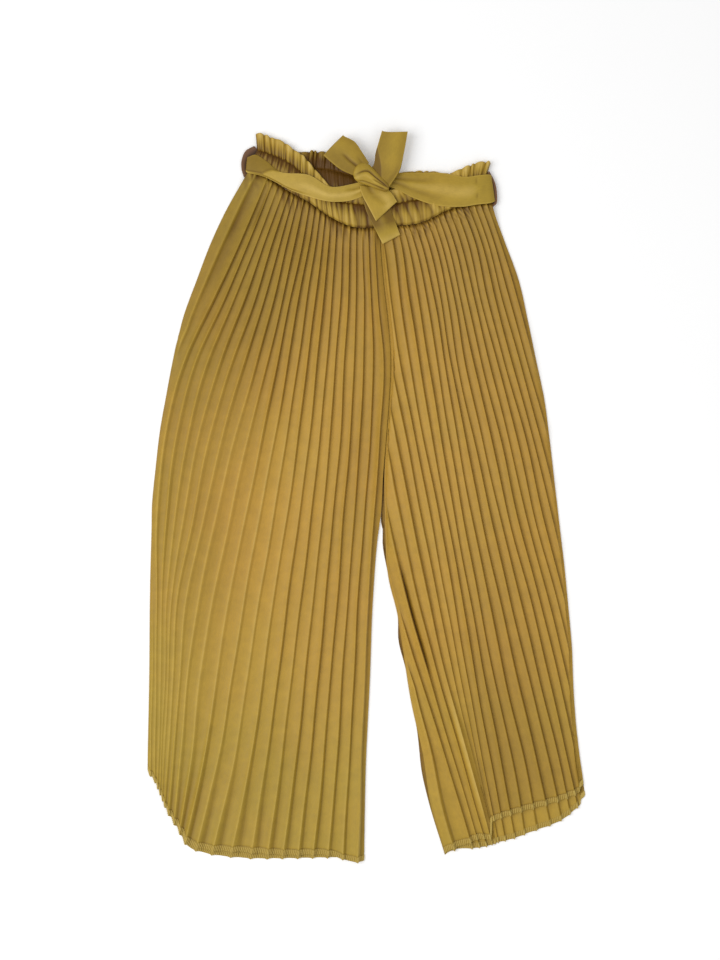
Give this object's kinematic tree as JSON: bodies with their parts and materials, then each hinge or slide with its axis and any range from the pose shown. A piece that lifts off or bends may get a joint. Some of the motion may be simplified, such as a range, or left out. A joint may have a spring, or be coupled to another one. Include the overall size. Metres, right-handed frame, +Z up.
{
  "type": "palazzo pants",
  "caption": "Wide accordion-pleated palazzo pants with a gathered paperbag waist and a tied sash, laid flat with the front up.",
  "frame": {"origin": "middle of the laid-out garment's footprint, on the surface that it lies on", "axes": "+Y up the garment from the hems to the waist, +X towards the wearer's left leg, +Z up off the surface, out of the front that faces up"},
  "size_m": [0.5766, 0.9662, 0.0231],
  "materials": {
    "pleated_satin": "heat-pressed accordion pleats in mustard polyester satin, a soft sheen along the folds",
    "gathered_satin": "the same mustard satin, gathered on elastic",
    "sash_satin": "the same mustard satin, sewn double and turned, smooth",
    "thread": "matt mustard polyester sewing thread"
  },
  "bodies": {
    "root": {"right_leg_front": "pleated_satin", "right_leg_back": "pleated_satin", "left_leg_front": "pleated_satin", "left_leg_back": "pleated_satin", "front_casing": "gathered_satin", "front_ruffle": "gathered_satin", "back_casing": "gathered_satin", "back_ruffle": "gathered_satin", "sash_back": "sash_satin", "sash_front_right": "sash_satin", "sash_front_left": "sash_satin", "bow_loop_right": "sash_satin", "bow_loop_left": "sash_satin", "bow_tail_upper": "sash_satin", "bow_tail_lower": "sash_satin", "bow_knot": "sash_satin", "carrier_right": "thread", "carrier_left": "thread"}
  },
  "joints": []
}
